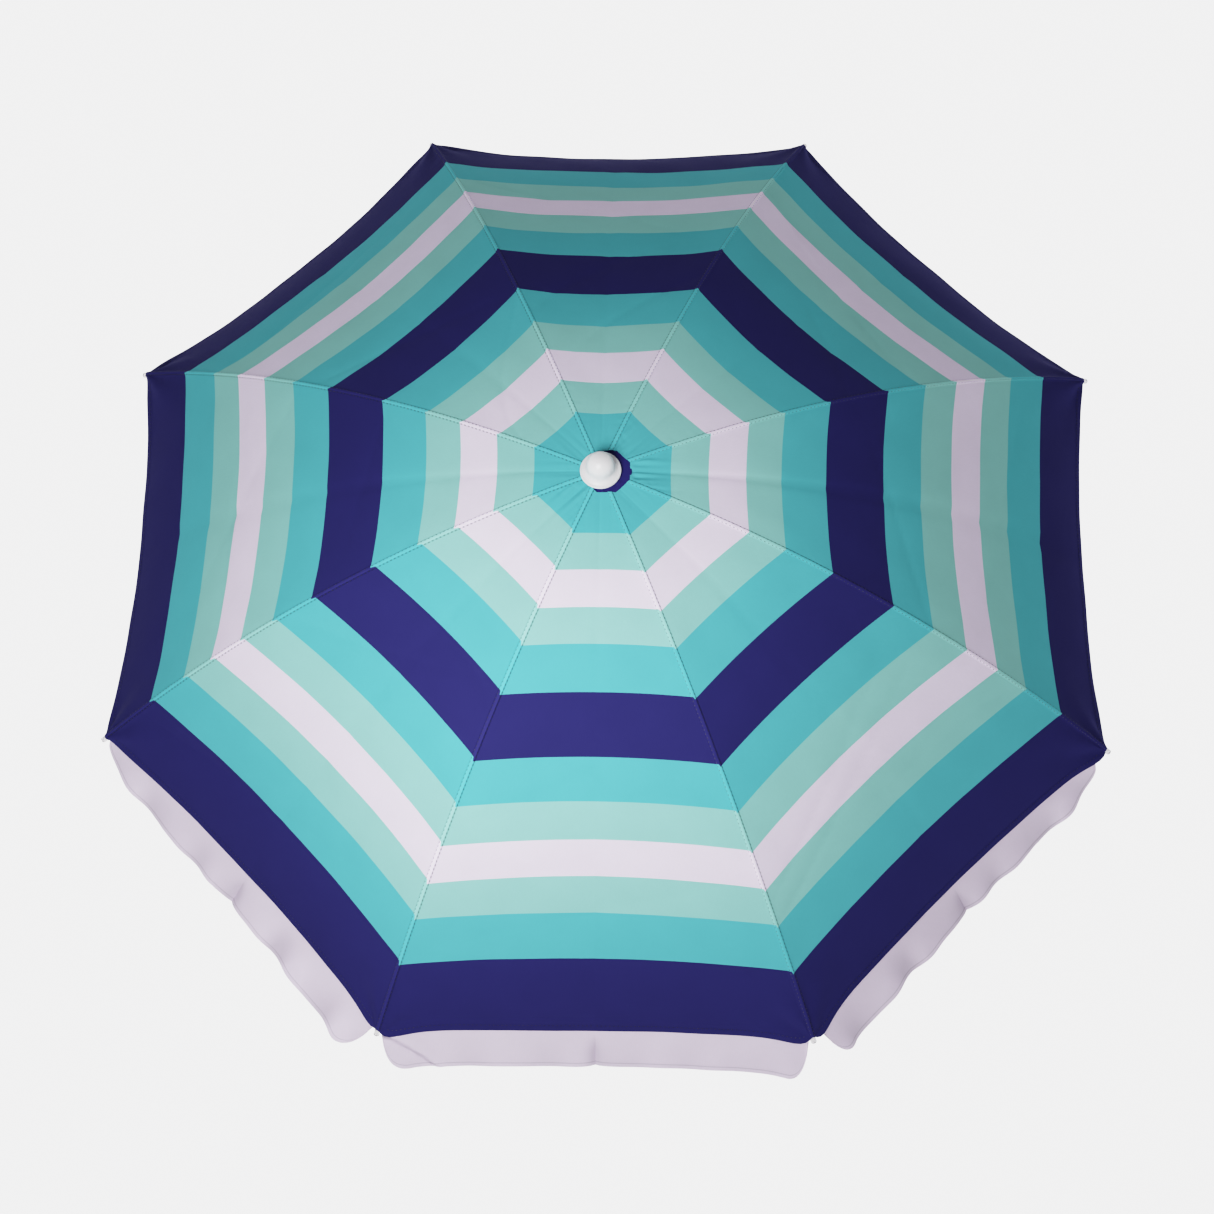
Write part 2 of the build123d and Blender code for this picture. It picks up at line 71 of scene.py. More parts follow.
# ---- the canopy's shape, as the frame has it ----
RIB_COUNT = 8
PANEL_ANGLE = math.tau / RIB_COUNT
HALF_PANEL = PANEL_ANGLE / 2
TIP_R = 0.830  # pole axis to a corner of the canopy
RIM_Z = 1.400
CANOPY_RISE = 0.355 * TIP_R
CURVE_POWER = 2.25
FABRIC = 0.0009
PANEL_SAG = 0.016  # how far mid-panel hangs inside the line between its ribs, as a share of TIP_R
RIM_SAG = 0.015  # how much further it hangs at the rim, where the cloth is slack
HOLE_R = 0.037
HOLE_SHIFT = 0.009  # the hole sits this far towards +X
PATCH_R = HOLE_R + HOLE_SHIFT + 0.0035
PATCH_HOLE_R = 0.012
PATCH_FOLD_R = 0.0235  # the patch bends here when the ribs come down
PATCH_TUCK = 0.0016  # how far the patch's edge dips under the canopy

# ---- cloth detail ----
SEAM_HALF = 0.0034  # half the width of the felled seam over a rib
SEAM_LIFT = 0.0014
HEM_WIDTH = 0.009
HEM_LIFT = 0.0006
STITCH_PITCH = 0.0062
STITCH_LENGTH = 0.0044
STITCH_R = 0.00055
SEAM_STITCH_LINES = (-0.0024, 0.0036)  # each seam's two rows, measured across the seam
PUCKER_HEIGHT = 0.00016  # gathers beside a seam
HUB_PUCKER_REACH = 0.05
CORNER_FOLD_DEPTH = 0.0019
CORNER_FOLD_REACH = 0.026
WAVE_HEIGHT = 0.0007  # slow waves over the panels
RIPPLE_HEIGHT = 0.00025
CREASE_WIDTH = 0.006
CROSS_CREASE_DEPTH = 0.0020
CROSS_CREASE_WIDTH = 0.008
VALANCE_DROP = 0.057
FLAP_HEM = 0.0055
FLAP_PIPING = 0.0032
FLAP_CREASE_DEPTH = 0.0085
FLAP_TUCK = 0.0006  # the flap is sewn on this far under the rim

# Edges of the printed stripes, as shares of TIP_R from the centre out, and each stripe's colour:
# turquoise, mint, lilac or navy.
STRIPE_EDGES = (0.1285, 0.201, 0.276, 0.347, 0.437, 0.551, 0.631, 0.6955, 0.759, 0.817, 0.8925)
STRIPE_ORDER = "TMLMTNTMLMTN"
STRIPE_COLOURS = {
    "T": (0.124, 0.500, 0.560),
    "M": (0.299, 0.630, 0.596),
    "L": (0.870, 0.770, 0.950),
    "N": (0.038, 0.036, 0.146),
}
# How far each panel's print was cut from its neighbours', in millimetres, panel 1 first.
PRINT_SHIFT = (-1, 0.5, 3, -0.5, 6, -0.5, -5, -6)
PRINT_BOW = 0.0135  # how far the print bows towards the hub mid-panel, as a share of TIP_R
RIM_PRINT_BOW = 0.0035  # how much less it bows in the last stripes

FRONT_PANEL = 6
# Each flap of the valance by panel: its lean out from upright at both ends in degrees, the gap to the
# clear tip and the corner's rounding at both ends, and how far its hem waves, all three in metres.
BACK_FLAP = {"lean": (6, 6), "gap": (0.014, 0.014), "corner": (0.030, 0.030), "wave": 0.0040}
FLAPS = {
    1: BACK_FLAP,
    2: BACK_FLAP,
    3: BACK_FLAP,
    4: {"lean": (2, 13), "gap": (0.014, 0.012), "corner": (0.030, 0.040), "wave": 0.0018},
    5: {"lean": (46, 68), "gap": (0.010, 0.010), "corner": (0.200, 0.040), "wave": 0.0048},
    6: {"lean": (54, 54), "gap": (0.009, 0.009), "corner": (0.040, 0.030), "wave": 0.0013},
    7: {"lean": (58, 36), "gap": (0.020, 0.030), "corner": (0.030, 0.120), "wave": 0.0050},
    8: {"lean": (3, 2), "gap": (0.020, 0.014), "corner": (0.030, 0.030), "wave": 0.0018},
}
DEEPER_FLAPS = {5: 0.05}  # flaps cut deeper at their second end, by this share
# Corners where the loose rim droops past the straight line between two tips: panel, side and length.
DROOPS = {(5, 1): 0.004, (6, -1): 0.009, (6, 1): 0.009, (7, -1): 0.009, (7, 1): 0.007}
DROOP_REACH = 0.022  # how far from the tip a droop is deepest
RIM_SPREAD = {6: 0.009}  # how much further out than its neighbours a panel's rim runs, mid-panel
MID_CREASES = {8: 0.0028, 4: 0.0018, 5: 0.0014}  # packing crease down the middle of a panel
OTHER_CREASE = 0.0009
HUB_PUCKERS = {8: 0.0014, 1: 0.0007, 5: 0.0008}  # gathers where a panel is bunched at the cap
OTHER_PUCKER = 0.0002

random = np.random.default_rng(8)
SEAM_PHASES = random.uniform(0, math.tau, (RIB_COUNT + 1, 2, 4))
WAVE_PHASES = random.uniform(0, math.tau, 6)
FLAP_PHASES = random.uniform(0, math.tau, (RIB_COUNT + 1, 3))
# Packing creases across each panel: radius, slant and the side where the crease is deeper.
CROSS_CREASES = random.uniform((0.2, -0.12, -1), (0.72, 0.12, 1), (RIB_COUNT + 1, 3, 3))


def smoothstep(value):
    value = np.clip(value, 0, 1)
    return value * value * (3 - 2 * value)


def fabric_z(radius):
    """Height of the canopy's outside over a rib."""
    return RIM_Z + CANOPY_RISE * (1 - (radius / TIP_R) ** CURVE_POWER)


def fabric_fall(radius):
    """How steeply the canopy falls along a rib, as rise over run."""
    return CANOPY_RISE * CURVE_POWER / TIP_R * (radius / TIP_R) ** (CURVE_POWER - 1)


def out_from_pole(angle):
    """Unit vector that points level, away from the pole."""
    return np.array([math.cos(angle), math.sin(angle), 0.0])


def leaning(angle, slope):
    """Unit vectors square to a slope that falls away from the pole in one direction."""
    return out_from_pole(angle) * np.sin(slope)[..., None] + UP * np.cos(slope)[..., None]


def panel_sag(radius, share):
    """How far a panel hangs inside the straight line between its ribs."""
    reach = radius / TIP_R
    slack = RIM_SAG * reach**16 * (1 - np.abs(share) ** 3)
    return TIP_R * (PANEL_SAG * reach * (1 - share**2) + slack)


def seam_pucker(radius, share, panel, from_seam):
    """Small gathers on both sides of a sewn seam."""
    side = (share > 0).astype(int)
    phase = SEAM_PHASES[panel][side]
    wave = np.sin(radius * 330 + phase[..., 0]) + 0.8 * np.sin(radius * 520 + phase[..., 1])
    patches = 0.6 + 0.4 * np.sin(radius * 40 + phase[..., 2])
    return PUCKER_HEIGHT * wave * patches * np.exp(-(((from_seam - 0.006) / 0.011) ** 2))


def corner_folds(radius, share, from_seam):
    """Folds that fan out from a corner, where the cloth is tied to the clear tip."""
    along = TIP_R - radius
    reach = np.hypot(along, from_seam) / CORNER_FOLD_REACH
    fan = np.arctan2(from_seam, along + 0.003)
    fade = reach * np.exp(1 - reach) * smoothstep((from_seam - 0.003) / 0.006)
    return -CORNER_FOLD_DEPTH * fade * np.cos(5.2 * fan + 0.6 * np.sign(share))


def hub_pucker(radius, share, panel, from_seam):
    """Gathers that run outwards from the hole at the cap."""
    height = HUB_PUCKERS.get(panel, OTHER_PUCKER)
    sideways = share * radius * math.sin(HALF_PANEL)
    fade = np.exp(-(((radius - HOLE_R) / HUB_PUCKER_REACH) ** 2)) * smoothstep((from_seam - 0.003) / 0.006)
    fade = fade * smoothstep((radius - hole_radius(share, panel)) / 0.012)
    wave = np.sin(sideways * 330 + panel) + 0.6 * np.sin(sideways * 610 + 2 * panel)
    return height * wave * fade


def cross_creases(radius, share, panel):
    """Sharp little folds left across a panel by the way it was packed."""
    depth = np.zeros(radius.shape)
    for start, slant, side in CROSS_CREASES[panel]:
        off = np.abs(radius - start - slant * share)
        fade = smoothstep(0.75 + 0.5 * share * np.sign(side)) * (1 - share**8)
        depth = depth + CROSS_CREASE_DEPTH * np.exp(-off / CROSS_CREASE_WIDTH) * fade
    return depth


def cloth_relief(radius, share, panel, place):
    """Height of the cloth's small shapes above the smooth panel."""
    from_seam = (1 - np.abs(share)) * radius * math.sin(HALF_PANEL)
    x, y = place[..., 0], place[..., 1]
    lap = SEAM_LIFT * smoothstep((SEAM_HALF + 0.0006 - from_seam) / 0.0011)
    hem = HEM_LIFT * smoothstep((radius - TIP_R + HEM_WIDTH) / 0.002)
    waves = np.sin(23 * x + 9 * y + WAVE_PHASES[0]) + np.sin(-14 * x + 27 * y + WAVE_PHASES[1])
    ripples = np.sin(61 * x - 38 * y + WAVE_PHASES[2]) + np.sin(47 * x + 66 * y + WAVE_PHASES[3])
    inland = smoothstep(from_seam / 0.05)
    middle = np.abs(share) * radius * math.sin(HALF_PANEL)
    crease = MID_CREASES.get(panel, OTHER_CREASE) * np.exp(-middle / CREASE_WIDTH)
    return (
        np.maximum(lap, hem)
        + inland * (WAVE_HEIGHT * waves + RIPPLE_HEIGHT * ripples)
        - crease * smoothstep((TIP_R - radius) / 0.1)
        - cross_creases(radius, share, panel)
        + seam_pucker(radius, share, panel, from_seam)
        + corner_folds(radius, share, from_seam)
        + hub_pucker(radius, share, panel, from_seam)
    )


def cloth_point(radius, share, panel, lift=0.0):
    """Points on the outside of a panel; share runs from -1 to 1, from one rib to the next."""
    radius, share = np.broadcast_arrays(np.asarray(radius, float), np.asarray(share, float))
    angle = PANEL_ANGLE * panel
    side = out_from_pole(angle + math.pi / 2)
    normal = leaning(angle, np.arctan(fabric_fall(radius) / math.cos(HALF_PANEL)))
    place = (
        out_from_pole(angle) * (radius * math.cos(HALF_PANEL))[..., None]
        + side * (share * radius * math.sin(HALF_PANEL))[..., None]
        + UP * fabric_z(radius)[..., None]
    )
    # Close to a seam the cloth's small shapes stand square to the seam, so both panels agree there.
    seam_slope = np.arctan(fabric_fall(radius))
    seam_normal = np.where(
        (share > 0)[..., None],
        leaning(angle + HALF_PANEL, seam_slope),
        leaning(angle - HALF_PANEL, seam_slope),
    )
    from_seam = (1 - np.abs(share)) * radius * math.sin(HALF_PANEL)
    inland = smoothstep(from_seam / 0.012)[..., None]
    direction = normal * inland + seam_normal * (1 - inland)
    direction /= np.linalg.norm(direction, axis=-1, keepdims=True)
    height = cloth_relief(radius, share, panel, place) + lift
    return place - normal * panel_sag(radius, share)[..., None] + direction * height[..., None]


def rim_radius(share, panel):
    """Radius of the rim, which droops past the straight line beside some corners."""
    from_tip = (1 - np.abs(share)) * TIP_R * math.sin(HALF_PANEL)
    droop = np.where(share > 0, DROOPS.get((panel, 1), 0.0), DROOPS.get((panel, -1), 0.0))
    reach = from_tip / DROOP_REACH
    spread = RIM_SPREAD.get(panel, 0.0) * (1 - np.abs(share) ** 3)
    return TIP_R + spread + droop * (reach * np.exp(1 - reach)) ** 1.5


def hole_radius(share, panel):
    """Radius of the edge of the eight-sided hole at the cap."""
    place = np.hypot(math.cos(HALF_PANEL), share * math.sin(HALF_PANEL))
    azimuth = PANEL_ANGLE * panel + np.arctan2(share * math.sin(HALF_PANEL), math.cos(HALF_PANEL))
    sides = PANEL_ANGLE * np.arange(RIB_COUNT)
    apothem = HOLE_R * math.cos(HALF_PANEL) + HOLE_SHIFT * np.cos(sides)
    facing = np.cos(azimuth[..., None] - sides)
    distance = np.where(facing > 0.05, apothem / np.maximum(facing, 0.05), np.inf).min(axis=-1)
    return distance / place


def stripe_place(radius, share, panel):
    """Where a point lies in the print, as a share of TIP_R. The print bows towards the hub mid-panel."""
    reach = radius / TIP_R
    bow = PRINT_BOW * np.clip((reach - 0.05) / 0.68, 0, 1)
    bow = bow - RIM_PRINT_BOW * smoothstep((reach - 0.77) / 0.06)
    shift = PRINT_SHIFT[panel - 1] * 0.001 / TIP_R
    return reach + bow * (1 - share**2) + shift


# ---- meshes ----
def grid_normals(points):
    """Normals of a grid of points, rows running down the cloth and columns across it."""
    normals = np.cross(np.gradient(points, axis=0), np.gradient(points, axis=1))
    return normals / np.linalg.norm(normals, axis=2, keepdims=True)


def make_object(name, points, faces, material, smooth=True):
    mesh = bpy.data.meshes.new(name)
    mesh.from_pydata(points.reshape(-1, 3).tolist(), [], faces)
    mesh.polygons.foreach_set("use_smooth", [smooth] * len(mesh.polygons))
    mesh.materials.append(material)
    piece = bpy.data.objects.new(name, mesh)
    bpy.context.scene.collection.objects.link(piece)
    return piece


def store(mesh, name, values):
    """Keeps one number for each vertex, for the materials to read."""
    attribute = mesh.attributes.new(name, "FLOAT", "POINT")
    attribute.data.foreach_set("value", np.asarray(values, np.float32).ravel())


def grid_faces(rows, columns, start=0):
    index = start + np.arange(rows * columns).reshape(rows, columns)
    corners = (index[:-1, :-1], index[1:, :-1], index[1:, 1:], index[:-1, 1:])
    return np.stack([corner.ravel() for corner in corners], axis=1)


def border_of(rows, columns):
    """The grid's edge vertices in order, down the first column and back up the last."""
    index = np.arange(rows * columns).reshape(rows, columns)
    return np.concatenate([index[:-1, 0], index[-1, :-1], index[:0:-1, -1], index[0, :0:-1]])


def cloth_shell(name, outside, normals, flat, material):
    """A closed sheet as thick as the fabric. flat holds each point's place on the flat cloth."""
    rows, columns = outside.shape[:2]
    count = rows * columns
    inside = outside - normals * FABRIC
    front = grid_faces(rows, columns)
    back = grid_faces(rows, columns, count)[:, ::-1]
    first = border_of(rows, columns)
    second = np.roll(first, -1)
    walls = np.stack([second, first, first + count, second + count], axis=1)
    faces = np.concatenate([front, back, walls])
    points = np.concatenate([outside.reshape(-1, 3), inside.reshape(-1, 3)])
    piece = make_object(name, points, faces.tolist(), material)
    mesh = piece.data
    layer = mesh.uv_layers.new(name="cloth")
    layer.data.foreach_set("uv", np.tile(flat.reshape(-1, 2), (2, 1))[faces.ravel()].ravel())
    surface = normals.reshape(-1, 3)
    loop_normals = np.concatenate(
        [surface[front.ravel()], -surface[back.ravel() - count], np.zeros((4 * len(walls), 3))]
    )
    smooth = np.ones(len(faces), bool)
    smooth[-len(walls) :] = False
    mesh.polygons.foreach_set("use_smooth", smooth)
    mesh.normals_split_custom_set(loop_normals.tolist())
    return piece


def resample(path, pitch):
    """Point numbers, as fractions, at even steps along a line of points."""
    length = np.concatenate([[0], np.cumsum(np.linalg.norm(np.diff(path, axis=0), axis=1))])
    steps = np.arange(pitch / 2, length[-1], pitch)
    return np.interp(steps, length, np.arange(len(path)))


def sample(values, where):
    """Values along a line at fractional point numbers."""
    numbers = np.arange(len(values))
    if values.ndim == 1:
        return np.interp(where, numbers, values)
    return np.stack([np.interp(where, numbers, column) for column in values.T], axis=1)


class Stitches:
    """Rows of short threads, gathered into one mesh. Each is a spindle: two ends, four sides."""

    POINTS = 6
    SPINDLE = [(0, 2, 3), (0, 3, 4), (0, 4, 5), (0, 5, 2), (1, 3, 2), (1, 4, 3), (1, 5, 4), (1, 2, 5)]

    def __init__(self):
        self.points = []
        self.faces = []
        self.prints = []

    def add_row(self, path, normals, prints):
        where = resample(path, STITCH_PITCH)
        centre = sample(path, where)
        ahead = sample(path, where + 0.05) - sample(path, where - 0.05)
        ahead /= np.linalg.norm(ahead, axis=1, keepdims=True)
        normal = sample(normals, where)
        side = np.cross(normal, ahead)
        half = ahead * STITCH_LENGTH / 2
        sink = normal * STITCH_R * 0.6
        ring = [side * STITCH_R, normal * STITCH_R * 1.5, -side * STITCH_R, -normal * STITCH_R]
        corners = [centre - half - sink, centre + half - sink] + [centre + step for step in ring]
        made = sum(len(block) for block in self.points)
        block = np.stack(corners, axis=1)
        self.points.append(block)
        starts = self.POINTS * (made + np.arange(len(block)))
        for triangle in self.SPINDLE:
            self.faces.append(starts[:, None] + np.array(triangle))
        self.prints.append(np.repeat(sample(prints, where), self.POINTS))

    def build(self, name, material):
        faces = np.concatenate(self.faces).tolist()
        piece = make_object(name, np.concatenate(self.points), faces, material)
        store(piece.data, "stripe", np.concatenate(self.prints))
        return piece


# ---- materials ----
def new_material(name):
    material = bpy.data.materials.new(name)
    material.use_nodes = True
    return material, material.node_tree, material.node_tree.nodes["Principled BSDF"]


def add_node(tree, kind, inputs=None, **settings):
    """A node of this kind; inputs are numbers, colours or other nodes' outputs."""
    made = tree.nodes.new(kind)
    for key, value in settings.items():
        setattr(made, key, value)
    for key, value in (inputs or {}).items():
        if isinstance(value, bpy.types.NodeSocket):
            tree.links.new(value, made.inputs[key])
        else:
            made.inputs[key].default_value = value
    return made


def math_node(tree, operation, first, second=0.0):
    return add_node(tree, "ShaderNodeMath", {0: first, 1: second}, operation=operation).outputs[0]


def noise(tree, vector, scale, detail=3.0, roughness=0.5):
    made = add_node(
        tree,
        "ShaderNodeTexNoise",
        {"Vector": vector, "Scale": scale, "Detail": detail, "Roughness": roughness},
    )
    return made.outputs["Fac"]


def fit(tree, value, low, high, source=(0.0, 1.0)):
    """Moves a number from the source range to low..high."""
    made = add_node(
        tree,
        "ShaderNodeMapRange",
        {"Value": value, "From Min": source[0], "From Max": source[1], "To Min": low, "To Max": high},
    )
    return made.outputs["Result"]


def shade(tree, colour, factor):
    """A colour made lighter or darker by a number."""
    made = add_node(tree, "ShaderNodeVectorMath", {0: colour, "Scale": factor}, operation="SCALE")
    return made.outputs["Vector"]


def bump(tree, height, strength, distance):
    made = add_node(
        tree, "ShaderNodeBump", {"Height": height, "Strength": strength, "Distance": distance}
    )
    return made.outputs["Normal"]


def stripe_ramp(tree):
    """The printed colour at the mesh's place in the print."""
    place = add_node(tree, "ShaderNodeAttribute", attribute_name="stripe").outputs["Fac"]
    ramp = add_node(tree, "ShaderNodeValToRGB", {"Fac": place})
    bands = ramp.color_ramp
    bands.interpolation = "CONSTANT"
    bands.elements.remove(bands.elements[1])
    for edge, letter in zip((0.0, *STRIPE_EDGES), STRIPE_ORDER):
        stripe = bands.elements[0] if edge == 0 else bands.elements.new(edge)
        stripe.color = (*STRIPE_COLOURS[letter], 1.0)
    return ramp.outputs["Color"]


def weave_height(tree, cloth):
    """Plain weave: threads over and under, in both directions of the cloth."""
    thread = 0.00052
    across = add_node(tree, "ShaderNodeSeparateXYZ", {0: cloth})
    warp = math_node(tree, "SINE", math_node(tree, "MULTIPLY", across.outputs[0], math.pi / thread))
    weft = math_node(tree, "SINE", math_node(tree, "MULTIPLY", across.outputs[1], math.pi / thread))
    return math_node(tree, "MULTIPLY", warp, weft)


def band(tree, value, centre, half_width, soft):
    """One where the value is near the centre, fading to nought outside the half width."""
    off = math_node(tree, "ABSOLUTE", math_node(tree, "SUBTRACT", value, centre))
    return fit(tree, off, 1.0, 0.0, (half_width, half_width + soft))


def seam_painted_light(tree, cloth):
    """Lighter over the felled lap of a seam, partly because the cloth lies double there and partly a
    painted highlight; painted shade in the groove on both sides of it.
    """
    place = add_node(tree, "ShaderNodeSeparateXYZ", {0: cloth})
    across = place.outputs[0]
    turns = math_node(tree, "MULTIPLY", place.outputs[1], math.tau / STITCH_PITCH)
    between = fit(tree, math_node(tree, "COSINE", turns), 0.45, 0.15, (-0.3, 0.3))
    # Lap: partly the double cloth's own lightness, partly a painted highlight.
    lap = fit(tree, band(tree, across, 0.0, 0.0026, 0.0005), 1.0, 1.20)
    # Painted shade in the groove beside the lap, darker in dashes at the stitch pitch.
    dent_shade = math_node(tree, "MULTIPLY", band(tree, across, 0.0037, 0.0006, 0.0007), between)
    groove_shade = math_node(tree, "SUBTRACT", 1.0, dent_shade)
    # Painted shade in the shallower groove on the other side.
    other_groove_shade = fit(tree, band(tree, across, -0.0037, 0.0003, 0.0006), 1.0, 0.90)
    return math_node(tree, "MULTIPLY", lap, math_node(tree, "MULTIPLY", groove_shade, other_groove_shade))


def hem_line_and_fold_shade(tree, cloth):
    """Darker along the sewn line of a flap's hem, and painted shade down in its folds, where the flap's
    swell sinks back.
    """
    height = add_node(tree, "ShaderNodeAttribute", attribute_name="hem").outputs["Fac"]
    line = fit(tree, band(tree, height, FLAP_HEM, 0.0004, 0.0006), 1.0, 0.80)
    # Painted shade: the colour darkens where the stored swell is low, down in the folds.
    fold_shade = add_node(tree, "ShaderNodeAttribute", attribute_name="fold").outputs["Fac"]
    return math_node(tree, "MULTIPLY", line, fit(tree, fold_shade, 0.80, 1.03, (-0.005, 0.003)))


def no_tint(tree, cloth):
    plain = add_node(tree, "ShaderNodeValue")
    plain.outputs[0].default_value = 1.0
    return plain.outputs[0]


def cloth_material(name, colour_of, painted_light_of):
    """Woven polyester: a fine weave, slubs, a dull sheen, a little light through the cloth, and the
    painted light and shade of its tint.
    """
    material, tree, shader = new_material(name)
    cloth = add_node(tree, "ShaderNodeUVMap", uv_map="cloth").outputs["UV"]
    slubs = add_node(tree, "ShaderNodeMapping", {"Vector": cloth, "Scale": (260.0, 34.0, 1.0)})
    colour = colour_of(tree)
    mottle = math_node(
        tree,
        "MULTIPLY",
        fit(tree, noise(tree, cloth, 16.0, 4.0), 0.95, 1.05),
        fit(tree, noise(tree, slubs.outputs["Vector"], 3.0), 0.965, 1.035),
    )
    weave = weave_height(tree, cloth)
    colour = shade(tree, colour, mottle)
    # The tint is painted light: painted shade in seam grooves and flap folds, a painted highlight on seam
    # laps.
    colour = shade(tree, colour, painted_light_of(tree, cloth))
    # Painted shade between the threads: the colour is a little darker where the weave sits low.
    colour = shade(tree, colour, fit(tree, weave, 0.975, 1.02, (-1.0, 1.0)))
    tree.links.new(colour, shader.inputs["Base Color"])
    crumple = noise(tree, cloth, 75.0, 5.0, 0.6)
    height = math_node(tree, "ADD", math_node(tree, "MULTIPLY", weave, 0.12), crumple)
    tree.links.new(bump(tree, height, 0.35, 0.0006), shader.inputs["Normal"])
    tree.links.new(fit(tree, crumple, 0.74, 0.90), shader.inputs["Roughness"])
    shader.inputs["Specular IOR Level"].default_value = 0.05
    shader.inputs["Sheen Weight"].default_value = 0.015
    shader.inputs["Sheen Roughness"].default_value = 0.45
    through = add_node(tree, "ShaderNodeBsdfTranslucent", {"Color": colour})
    mixed = add_node(
        tree, "ShaderNodeMixShader", {0: 0.08, 1: shader.outputs[0], 2: through.outputs[0]}
    )
    tree.links.new(mixed.outputs[0], tree.nodes["Material Output"].inputs["Surface"])
    return material


def rgb(tree, colour):
    made = add_node(tree, "ShaderNodeRGB")
    made.outputs[0].default_value = (*colour, 1.0)
    return made.outputs[0]


def plain_colour(colour):
    return lambda tree: rgb(tree, colour)


def thread_material():
    """Sewing thread, drawn as a darker copy of the print that it crosses: painted shade of stitches sunk
    into their needle holes.
    """
    material, tree, shader = new_material("sewing_thread")
    place = add_node(tree, "ShaderNodeNewGeometry").outputs["Position"]
    # Painted shade: the print darkened to between a sixth and a third, varying at random.
    stitch_shade = fit(tree, noise(tree, place, 900.0, 2.0), 0.16, 0.32)
    tree.links.new(shade(tree, stripe_ramp(tree), stitch_shade), shader.inputs["Base Color"])
    shader.inputs["Roughness"].default_value = 0.6
    shader.inputs["Sheen Weight"].default_value = 0.3
    return material


def plastic_material(name, colour, roughness):
    """Moulded plastic with a soft gloss, flow marks and fine scuffs."""
    material, tree, shader = new_material(name)
    place = add_node(tree, "ShaderNodeTexCoord").outputs["Object"]
    flow = noise(tree, place, 26.0, 4.0)
    scuffs = noise(tree, place, 420.0, 6.0, 0.7)
    mottled = shade(tree, rgb(tree, colour), fit(tree, flow, 0.95, 1.03))
    tree.links.new(mottled, shader.inputs["Base Color"])
    tree.links.new(fit(tree, scuffs, roughness - 0.06, roughness + 0.14), shader.inputs["Roughness"])
    tree.links.new(bump(tree, scuffs, 0.12, 0.0002), shader.inputs["Normal"])
    shader.inputs["Subsurface Weight"].default_value = 0.08
    shader.inputs["Subsurface Radius"].default_value = (0.004, 0.003, 0.003)
    return material


def clear_plastic_material():
    """Cloudy clear plastic of the rib tips."""
    material, tree, shader = new_material("clear_plastic")
    place = add_node(tree, "ShaderNodeTexCoord").outputs["Object"]
    haze = noise(tree, place, 300.0, 4.0)
    colour = shade(tree, rgb(tree, (0.86, 0.84, 0.86)), fit(tree, haze, 0.9, 1.05))
    tree.links.new(colour, shader.inputs["Base Color"])
    tree.links.new(fit(tree, haze, 0.12, 0.32), shader.inputs["Roughness"])
    tree.links.new(bump(tree, haze, 0.1, 0.0003), shader.inputs["Normal"])
    shader.inputs["Transmission Weight"].default_value = 0.55
    shader.inputs["IOR"].default_value = 1.46
    return material


def paint_material():
    """White powder coat on the poles, with orange peel and sand rubbed on near the ground."""
    material, tree, shader = new_material("pole_paint")
    place = add_node(tree, "ShaderNodeTexCoord").outputs["Object"]
    height = add_node(tree, "ShaderNodeSeparateXYZ", {0: place}).outputs[2]
    speckle = noise(tree, place, 900.0, 4.0, 0.7)
    sandy = math_node(tree, "MULTIPLY", fit(tree, height, 1.0, 0.0, (-0.3, 0.12)), speckle)
    paint = shade(tree, rgb(tree, (0.84, 0.84, 0.85)), fit(tree, noise(tree, place, 30.0), 0.96, 1.03))
    colour = add_node(
        tree,
        "ShaderNodeMix",
        {0: sandy, 6: paint, 7: (0.50, 0.42, 0.32, 1.0)},
        data_type="RGBA",
    )
    tree.links.new(colour.outputs[2], shader.inputs["Base Color"])
    peel = noise(tree, place, 520.0, 2.0)
    tree.links.new(fit(tree, speckle, 0.28, 0.46), shader.inputs["Roughness"])
    tree.links.new(bump(tree, peel, 0.15, 0.0003), shader.inputs["Normal"])
    shader.inputs["Coat Weight"].default_value = 0.15
    return material


def steel_material(name, colour, roughness):
    """Plated steel with drawing marks and dull spots."""
    material, tree, shader = new_material(name)
    place = add_node(tree, "ShaderNodeTexCoord").outputs["Object"]
    grain = noise(tree, place, 700.0, 5.0, 0.65)
    spots = noise(tree, place, 90.0, 4.0)
    spotted = shade(tree, rgb(tree, colour), fit(tree, spots, 0.86, 1.06))
    tree.links.new(spotted, shader.inputs["Base Color"])
    tree.links.new(fit(tree, grain, roughness - 0.08, roughness + 0.16), shader.inputs["Roughness"])
    tree.links.new(bump(tree, grain, 0.18, 0.0002), shader.inputs["Normal"])
    shader.inputs["Metallic"].default_value = 1.0
    return material


# The canopy cloth's tint is the seams' painted highlight and painted shade.
CANOPY_CLOTH = cloth_material("canopy_fabric", stripe_ramp, seam_painted_light)
# The valance's tint holds painted shade in the flaps' folds.
VALANCE_CLOTH = cloth_material("valance_fabric", plain_colour((0.88, 0.77, 0.94)), hem_line_and_fold_shade)
PATCH_CLOTH = cloth_material("patch_fabric", plain_colour((0.038, 0.034, 0.16)), no_tint)
THREAD = thread_material()
FINISHES = {
    "pole_paint": paint_material(),
    "white_plastic": plastic_material("white_plastic", (0.80, 0.79, 0.81), 0.30),
    "navy_plastic": plastic_material("navy_plastic", (0.03, 0.026, 0.17), 0.32),
    "clear_plastic": clear_plastic_material(),
    "rib_steel": steel_material("rib_steel", (0.74, 0.75, 0.77), 0.34),
    "bright_steel": steel_material("bright_steel", (0.80, 0.79, 0.76), 0.22),
}


def finish_frame_nodes():
    """Gives every CAD node that stays in view its slot's finish."""
    for part in frame["record"]["subparts"]:
        finish = FINISHES.get(part["material_slot"])
        if finish is None:
            continue
        mesh = frame["nodes"][part["node"]].data
        mesh.materials.clear()
        mesh.materials.append(finish)


